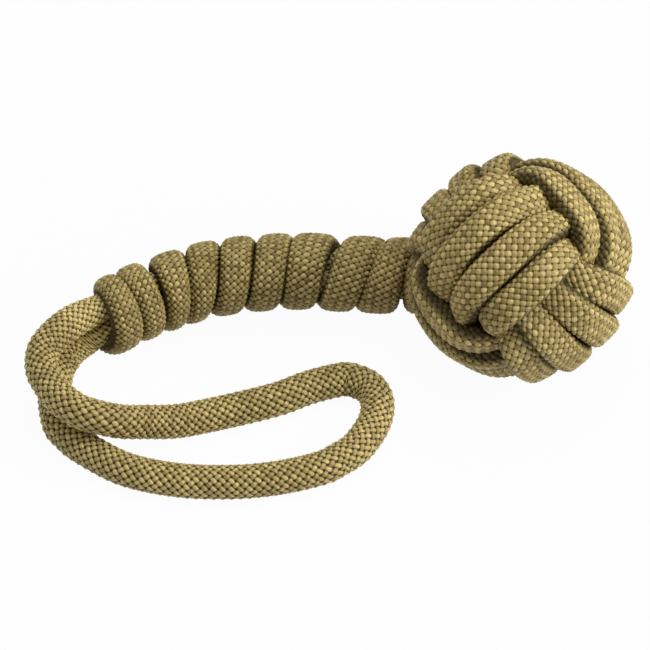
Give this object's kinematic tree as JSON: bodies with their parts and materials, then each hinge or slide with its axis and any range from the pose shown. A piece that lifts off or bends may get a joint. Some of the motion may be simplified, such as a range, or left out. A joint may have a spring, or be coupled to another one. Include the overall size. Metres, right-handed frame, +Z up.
{
  "type": "monkey fist key fob",
  "caption": "Monkey's fist knot tied in braided cord round a steel ball, with a short cord-wrapped handle and a finger loop laid back beside it.",
  "frame": {"origin": "middle of the box round the fob, on the surface it lies on", "axes": "+X from the finger loop towards the fist, along the longest side; +Y from the finger loop's side towards the handle's back; +Z up from the surface the fob lies on"},
  "size_m": [0.0754, 0.0414, 0.0276],
  "materials": {
    "ball_steel": "satin steel ball, hidden inside the fist",
    "fist_cord": "braided nylon cord, olive gold with a soft sheen and dark crevices",
    "wrap_cord": "braided nylon cord pulled tight, olive gold with a soft sheen",
    "leg_cord": "braided nylon cord squeezed flat inside the wrap",
    "loop_cord": "round braided nylon cord, olive gold with a soft sheen"
  },
  "bodies": {
    "root": {"core_ball": "ball_steel", "first_turns": "fist_cord", "second_turns": "fist_cord", "third_turns": "fist_cord", "handle_wrap": "wrap_cord", "outgoing_leg": "leg_cord", "return_leg": "leg_cord", "finger_loop": "loop_cord"}
  },
  "joints": []
}
